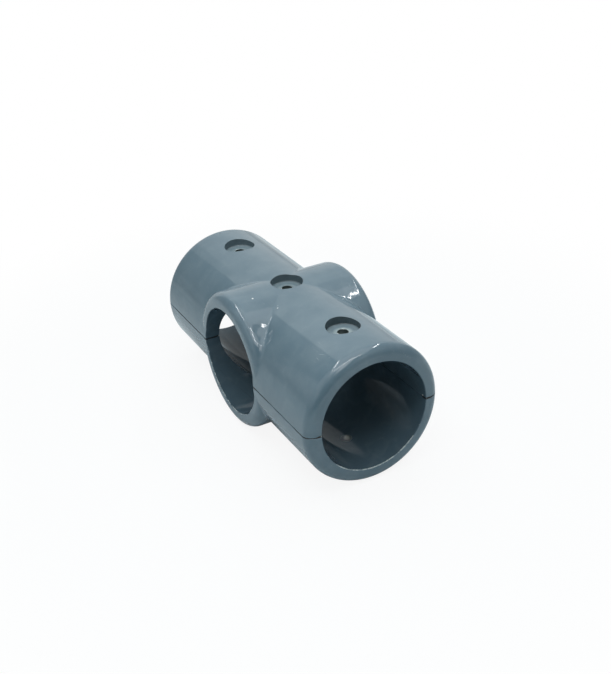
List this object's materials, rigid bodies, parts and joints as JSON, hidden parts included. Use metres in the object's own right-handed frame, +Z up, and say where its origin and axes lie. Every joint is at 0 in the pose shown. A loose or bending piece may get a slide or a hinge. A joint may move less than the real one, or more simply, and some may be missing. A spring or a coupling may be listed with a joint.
{
  "type": "cross tube connector",
  "caption": "Two-part moulded plastic cross connector: half shells close round two crossing tubes, with counterbored screw holes along the crown of each half.",
  "frame": {"origin": "where the axes of the run bore and the cross bore meet, in the parting plane of the two shells", "axes": "+X along the run bore, +Y along the cross bore, +Z up through the crown of the upper shell"},
  "size_m": [0.179, 0.078, 0.078],
  "materials": {
    "shell_plastic": "satin blue-grey moulded plastic"
  },
  "bodies": {
    "root": {"upper_shell": "shell_plastic", "lower_shell": "shell_plastic"}
  },
  "joints": []
}
